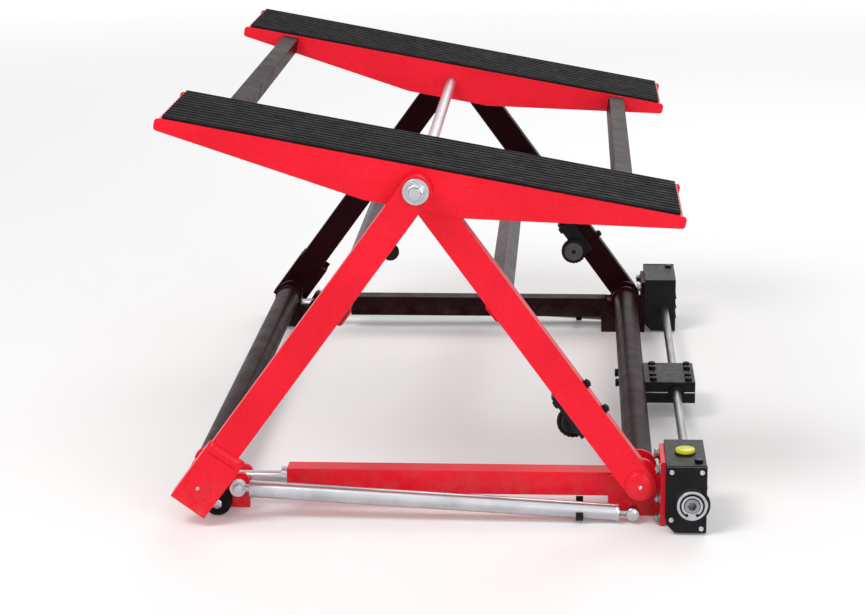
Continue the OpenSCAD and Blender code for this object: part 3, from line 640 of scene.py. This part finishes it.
bolts = [lathe([[6, 0], [6, roller_head - base_out]], (roller_x, base_out, roller_h), Y, 32),
         flat_washer((roller_x, foot_out + 0.2, roller_h), Y, 12, 6.1, 4.4),
         hex_head((roller_x, roller_head, roller_h), Y, 9, 6)]
make("roller_bolts_fine", both(bolts), "carriage", "zinc_plate", stands_for="roller_bolts")

for end, eye, body in (("rear", strut_rear, "carriage"), ("front", strut_front, "base")):
    pins = [hex_head((eye[0], eye_out, eye[2]), Y, 8.6, 4.6),
            flat_washer((eye[0], eye_out - 0.3, eye[2]), Y, 10.5, 5.9, 1.2)]
    make(f"strut_pins_{end}", both(pins), body, "zinc_plate")


# Lifting screws: a long thread, and a plain neck where the screw runs in its bearings

neck = [[4.6, 0], [5.5, 1], [screw_r, 2], [screw_r, 116]]
parts = [thread((thread_x, screw_y, screw_h), X, screw_r, neck_x - thread_x, 3.0, 1.1),
         lathe(neck, (neck_x, screw_y, screw_h), X, 32)]
for side in SIDES:
    make(f"{side}_lift_screw_thread", at_side(side, parts), f"{side}_screw", "bare_steel",
         stands_for=f"{side}_lift_screw")


# Wheels and rollers

def tyre(r, wide, origin, bore, grooves, cut):
    """Tyre round Y: a crowned ring whose tread radius falls by cut |cos|^12 in even cross grooves,
    and in two channels round it by 0.9 exp(-(w / 0.035)^2)."""
    w = np.linspace(0, 1, 15)
    crown = r - 2.4 * np.abs(2 * w - 1) ** 6 - 0.5 * (2 * w - 1) ** 2
    channel = 0.9 * (np.exp(-((w - 0.36) / 0.035) ** 2) + np.exp(-((w - 0.64) / 0.035) ** 2))
    n = grooves * 8
    t = np.arange(n) * tau / n
    axis, way = spokes(Y, t)
    notch = cut * np.clip(3.2 * np.abs(np.cos(grooves * t / 2)) ** 12, 0, 1)
    tread = crown[:, None] - channel[:, None] - notch * (np.abs(2 * w - 1) > 0.36)[:, None]
    wall = np.array([[r - 4.4, 0.0], [r - 4.9, 0.5], [bore + 0.6, 0.6], [bore, 1.2]])
    walls = np.broadcast_to(np.r_[wall[:, 0], wall[::-1, 0]][:, None], (8, n))
    rad = np.vstack([tread, walls])[..., None]
    h = np.r_[w * wide, wide - wall[:, 1], wall[::-1, 1]][:, None, None]
    return shell(np.asarray(origin, float) + h * axis + rad * way, ring=True)


wheel_at = on_front([[axle_along, wheel_in, axle_off]])[0]
roller_at = (roller_x, roller_in, roller_h)
wheel_tyre = tyre(wheel_r, wheel_wide, wheel_at, bore=20, grooves=22, cut=1.0)
roller_tyre = tyre(roller_r, roller_wide, roller_at, bore=6.1, grooves=20, cut=0.0)
web = [[11, 5.4], [17.5, 5.4], [18.6, 4.6], [19.6, 4.6],
       [19.6, 15.4], [18.6, 15.4], [17.5, 14.6], [11, 14.6]]
for side in SIDES:
    make(f"{side}_wheel_tyre_fine", at_side(side, [wheel_tyre]), f"{side}_wheel", "black_rubber",
         stands_for=f"{side}_wheel_tyre")
    make(f"{side}_roller_fine", at_side(side, [roller_tyre]), f"{side}_floor_roller", "black_rubber",
         stands_for=f"{side}_roller")
    make(f"{side}_wheel_web", at_side(side, [washed(web, wheel_at, Y)]), f"{side}_wheel", "grey_paint")
    cap = [lathe([[7.5, 0], [7.5, 1.0], [6.2, 2.2], [3.6, 2.9]], wheel_at + [0, wheel_wide, 0], Y, 36)]
    make(f"{side}_axle_cap", at_side(side, cap), "front_legs", "zinc_plate")


# Weld beads

def ring_weld(x, y, z, r, thick):
    """Bead round an axis along Y."""
    return bead(circle((x, y, z), Y, r), thick, True)


def welds(name, side, parts, body):
    """Weld beads of one side, painted with what they join (the far ones with the far frame's red in
    painted shade), and smooth all over.
    """
    make(name, at_side(side, parts), body, FRAME_PAINT[side], 180)


def upright(x, y, low, high):
    """Upright bead at a corner of a foot."""
    return bead([(x, y, low), (x, y, high)], 2.4)


# Where base tube and flange meet the drive foot, how far a bar's middle lies off its leg's middle,
# the rolled lip of a leg's sleeve, and the stitches and cross tubes under a tray
tube_end, flange_end, bar_mid = x_drive - 50, x_drive + 33, 16.5
lip_section = [(-9, 2.9), (-6, 5.0), (-1, 6.0), (3, 5.4), (9, 1.2), (10, 0.05), (0, 0.05)]
stitches, stitch_long, tray_low = np.linspace(-398, 352, 7), 46, 29.6
tube_x, tube_mid, tube_half = 330, 15, 14.6
for side in SIDES:
    parts = [ring_weld(x_drive, foot_in - 0.5, foot_h, pipe_r + 0.6, 2.4),
             ring_weld(x_drive, foot_out + 0.5, foot_h, stub_r, 2.0),
             ring_weld(strut_front[0], foot_out + 0.3, strut_front[2], 6.4, 1.4)]
    parts += [upright(tube_end, y, 33, 69) for y in (base_out, base_in)]
    parts += [upright(flange_end, y, 12, 62) for y in (foot_out, foot_in)]
    welds(f"{side}_foot_welds", side, parts, "base")

    parts = [ring_weld(x_glide, foot_in - 0.5, foot_h, pipe_r + 0.6, 2.4),
             ring_weld(x_glide, foot_out + 0.5, foot_h, stub_r, 2.0),
             ring_weld(strut_rear[0], foot_out + 0.3, strut_rear[2], 6.4, 1.4)]
    welds(f"{side}_glide_welds", side, parts, "carriage")

    loop = square_loop((bar_along, front_in - 0.4, bar_mid), bar_half)
    welds(f"{side}_front_bar_welds", side, placed([bead(loop, 1.9, True)], on_front), "front_legs")
    loop = square_loop((bar_along, rear_in - 0.4, -bar_mid), bar_half)
    parts = [bead(loop, 1.9, True),
             strip([(70, rear_out, -37), (67, rear_out, 27)], lip_section, X, Y),
             bead([(69.8, rear_in - 0.6, -24), (67.4, rear_in - 0.6, 24)], 1.7)]
    welds(f"{side}_rear_leg_welds", side, placed(parts, on_rear), "rear_legs")

    parts = [bead([(x, y, tray_low), (x + stitch_long, y, tray_low)], 1.8)
             for x in stitches for y in (plate_in - 0.2, deck_in + 4.2)]
    parts += [bead(square_loop((x, deck_in - 0.4, tube_mid), tube_half), 1.7, True)
              for x in (-tube_x, tube_x)]
    make(f"{side}_deck_welds", at_side(side, placed(parts, on_deck)), "platform", "red_paint", 180)


# Bosses: a shallow dome over each stub axle, with a grease nipple in it

def nipple(origin):
    """Grease nipple along Y: a small hexagon, a waist and a ball."""
    stem = [[3.2, 0], [3.4, 1.4], [2.0, 1.8], [1.7, 3.0],
            [2.3, 3.8], [2.5, 4.6], [2.0, 5.6], [0.9, 6.1]]

    def lobes(t, r, h):
        return np.where(h < 1.5, six_sided(t, r, h), r + 0 * t)

    return lathe(stem, origin, Y, 36, lobes)


def dome(origin, r, high):
    """Shallow dome along Y: radius r cos a, height high sin a."""
    a = np.linspace(0, 1.48, 12)
    return lathe(np.stack([r * np.cos(a), high * np.sin(a)], -1), origin, Y, 56)


# The far bosses take the far frame's red in painted shade.
for side in SIDES:
    front = [dome((x_drive, front_out + 1.8, foot_h), 23.6, 8.5),
             ring_weld(x_drive, front_out + 2.0, foot_h, 23.7, 1.3)]
    make(f"{side}_front_boss", at_side(side, front), "front_legs", FRAME_PAINT[side], 60)
    rear = [dome((x_glide, rear_out + 2.9, foot_h), 19, 2.6),
            ring_weld(x_glide, rear_out + 3.0, foot_h, 19.3, 1.2)]
    make(f"{side}_rear_boss", at_side(side, rear), "rear_legs", FRAME_PAINT[side], 60)
make("front_nipples", both([nipple((x_drive, front_out + 10.0, foot_h))]), "front_legs", "zinc_plate")
make("rear_nipples", both([nipple((x_glide, rear_out + 5.3, foot_h))]), "rear_legs", "zinc_plate")


# Gearboxes: gasket, cast collars and ribs, spring rings, filler plugs, and the level on the near one

def frame_sheet(outline, y0, y1, wide):
    """Thin frame in the XZ plane: an outline and the same one drawn in by wide, carried along Y."""
    o = np.asarray(outline, float)
    c = o.mean(0)
    inner = c + (o - c) * (1 - wide / np.abs(o - c).min(0))
    rows = [np.column_stack([q[:, 0], np.full(len(q), y), q[:, 1]])
            for q, y in ((o, y0), (o, y1), (inner, y1), (inner, y0))]
    return shell(np.array(rows), ring=True)


def spring_ring(origin, r, wide, high, gap=0.5):
    """Open ring round Y with a gap at its foot, broader away from it, and a round eye at each end."""
    t = np.linspace(gap, tau - gap, 56) + pi / 2
    axis, way = spokes(Y, t)
    w = wide * (0.62 + 0.38 * np.sin((t - pi / 2) / 2))
    o = np.asarray(origin, float)
    rows = [o + (r + k * w)[:, None] * way + h * axis
            for k, h in ((-0.5, 0), (0.5, 0), (0.5, high), (-0.5, high))]
    eye = [[2.6, 0], [2.6, high], [1.0, high], [0.9, high / 2]]
    eyes = [lathe(eye, o + (r - 1) * v, axis, 24) for v in (way[0], way[-1])]
    return [shell(np.stack(rows, 1))] + eyes


proud = 0.7
gasket = [(case_x0 + 14, case_low), (case_x1 + proud, case_low), (case_x1 + proud, case_top + proud),
          (case_x0 - proud, case_top + proud), (case_x0 - proud, case_low + 14)]
gasket = frame_sheet(gasket, case_out - 0.4, case_out + 0.4, 3.0)
make("cover_gaskets", both([gasket]), "base", "black_rubber")
rings = spring_ring((shaft_x, case_out + 11, screw_h), 18.6, 3.4, 0.7)
make("bearing_spring_rings", both(rings), "base", "black_bolts")
inner_collar = [[15.0, 0], [21.5, 0], [20.0, 3.0], [15.0, 3.0]]
outer_collar = [[25.2, -0.4], [29.4, -0.4], [28.2, 2.2], [25.2, 2.2]]
cast = [washed(inner_collar, (shaft_x, case_in, screw_h), IN),
        washed(outer_collar, (shaft_x, case_out + cover, screw_h), Y)]
cast += [soft_slab((case_x1 - 1.0, case_in + 16, z - 2.5), (case_x1 + 2.4, case_out - 16, z + 2.5), 1.2)
         for z in (screw_h - 21, screw_h, screw_h + 21)]
make("gearbox_ribs", both(cast), "base", "black_casting")
plug = [hex_head((case_x1 - 12, case_out - 24, case_top), Z, 7.5, 5)]
make("filler_plugs", both(plug), "base", "black_bolts")

level = np.array([(case_x0 + case_x1) / 2, -(case_in + case_out) / 2, case_top])
vial = [[15.2, 0.2], [15.6, 0.6], [15.6, 6.6], [15.2, 7.3],
        [14.2, 7.8], [11.0, 8.3], [6.0, 8.7], [2.0, 8.8]]
make("bubble_level_vial", [lathe(vial, level, Z, 64)], "base", "level_plastic", 50, "bubble_level")
bezel = [[15.5, 0], [17, 0], [17, 1.6], [16.6, 2.2], [15.9, 2.2], [15.5, 1.8]]
make("bubble_level_bezel", [washed(bezel, level, Z, 64)], "base", "black_casting")
a = np.linspace(-1.5, 1.5, 14)
bubble = np.stack([3.2 * np.cos(a), 0.25 * np.sin(a)], -1)
make("level_bubble", [lathe(bubble, level + [1.5, 0.5, 8.7], Z, 32)], "base", "level_plastic")
mark = [[6.6, -0.1], [7.1, -0.1], [7.1, 0.12], [6.6, 0.12]]
make("level_ring", [washed(mark, level + [0, 0, 8.55], Z)], "base", "black_bolts")


# Middle block: a bright liner between its halves, and caps over the shaft

liner_out, liner_half = block_out + 1, 0.8
liner = soft_slab((block_x0, -liner_out, screw_h - liner_half),
                  (block_x1, liner_out, screw_h + liner_half), 0.6, 4)
make("block_liner", [liner], "base", "zinc_plate")
screw_cap = [[6.5, 0], [6.5, 5.4], [5.8, 6], [3.4, 6], [3.2, 3.0]]
caps = [washed([[shaft_r, 0], [15, 0], [14.2, 4], [shaft_r, 4]], (shaft_x, block_out, screw_h), Y)]
caps += [lathe(screw_cap, (x_drive + x, y, block_top), Z, 36)
         for x in (40.0, 105.0) for y in (24.0, 52.0)]
make("block_caps", both(caps), "base", "black_bolts")


# Struts: a rolled lip at the mouth of each tube, and a ring at its closed end

strut_long = np.linalg.norm(strut_front - strut_rear)
strut_way = (strut_front - strut_rear) / strut_long
mouth, closed_end = strut_rear + strut_way * (strut_long - 27), strut_rear + strut_way * 21
parts = [washed([[12.9, 0], [14.5, 0.6], [15.0, 2.4], [14.5, 4.4], [12.9, 5]], mouth, strut_way, 56),
         washed([[13.9, 0], [14.8, 0.6], [14.8, 5.4], [13.9, 6]], closed_end, strut_way, 56)]
for side in SIDES:
    make(f"{side}_strut_lips", at_side(side, parts), f"{side}_strut_outer", "zinc_plate")


# Floor, soft light and camera

floor = bpy.data.objects.new("floor", bpy.data.meshes.new("floor"))
floor.data.from_pydata([(-30, -30, 0), (30, -30, 0), (30, 30, 0), (-30, 30, 0)], [], [(0, 1, 2, 3)])
bpy.context.scene.collection.objects.link(floor)
sheet = Sheet("pale_floor")
sheet.shader.inputs["Base Color"].default_value = lin(240, 240, 240)
sheet.shader.inputs["Roughness"].default_value = 0.7
sheet.shader.inputs["Specular IOR Level"].default_value = 0.1
pale = sheet.shader.outputs[0]

# The camera sees the floor a little lifted near the lift, and white further off
seen = sheet.put("ShaderNodeLightPath").outputs["Is Camera Ray"]
lift = sheet.put("ShaderNodeEmission", i1=0.1).outputs[0]
lifted = sheet.put("ShaderNodeAddShader", i0=pale, i1=lift).outputs[0]
near_floor = sheet.put("ShaderNodeMixShader", i0=seen, i1=pale, i2=lifted).outputs[0]
away = sheet.put("ShaderNodeVectorMath", operation="LENGTH", i0=sheet.place).outputs["Value"]
fade = sheet.times(sheet.span(away, 1.6, 6.0), seen)
white = sheet.put("ShaderNodeEmission").outputs[0]
ground = sheet.put("ShaderNodeMixShader", i0=fade, i1=near_floor, i2=white).outputs[0]
sheet.link(ground, sheet.tree.nodes["Material Output"].inputs["Surface"])
floor.data.materials.append(sheet.material)

world = bpy.data.worlds.new("studio")
bpy.context.scene.world = world
world.use_nodes = True
nodes, link = world.node_tree.nodes, world.node_tree.links.new


def background(node, strength):
    """White light of a strength."""
    node.inputs["Color"].default_value = (1, 1, 1, 1)
    node.inputs["Strength"].default_value = strength
    return node.outputs[0]


def either(a, b):
    """1 where either of two ray kinds is."""
    node = nodes.new("ShaderNodeMath")
    node.operation = "MAXIMUM"
    link(a, node.inputs[0])
    link(b, node.inputs[1])
    return node.outputs[0]


# Camera, glossy and transmission rays see white, and the rest of the light is half as strong
path = nodes.new("ShaderNodeLightPath").outputs
sees_white = either(either(path["Is Camera Ray"], path["Is Glossy Ray"]), path["Is Transmission Ray"])
mixed = nodes.new("ShaderNodeMixShader")
link(sees_white, mixed.inputs[0])
link(background(nodes["Background"], 0.5), mixed.inputs[1])
link(background(nodes.new("ShaderNodeBackground"), 1.0), mixed.inputs[2])
link(mixed.outputs[0], nodes["World Output"].inputs["Surface"])


def aim(name, data, eye, target, roll=0.0):
    """Puts a lamp or camera at a place, turned to a target."""
    holder = bpy.data.objects.new(name, data)
    turn = (Vector(target) - Vector(eye)).to_track_quat("-Z", "Y").to_matrix().to_4x4()
    holder.matrix_world = Matrix.Translation(eye) @ turn @ Matrix.Rotation(radians(roll), 4, "Z")
    bpy.context.scene.collection.objects.link(holder)
    return holder


def lamp(name, eye, size, watts):
    """Square soft box turned to the lift."""
    light = bpy.data.lights.new(name, "AREA")
    light.shape, light.size, light.energy = "SQUARE", size, watts
    aim(name, light, eye, (0, 0, 0.3))


lamp("key_light", (-2.2, -2.6, 4.2), 2.0, 120)
lamp("fill_light", (2.4, -4.2, 1.6), 2.4, 66)
lamp("back_light", (1.2, 3.4, 3.2), 2.4, 60)

camera = bpy.data.cameras.new("camera")
camera.lens, camera.sensor_width = 100.0, 36.0
view = aim("camera", camera, (0.2154, -4.3564, 1.3099), (-0.028, -0.30, 0.27), -0.4)
bpy.context.scene.camera = view
bpy.context.scene.view_settings.view_transform = "Standard"
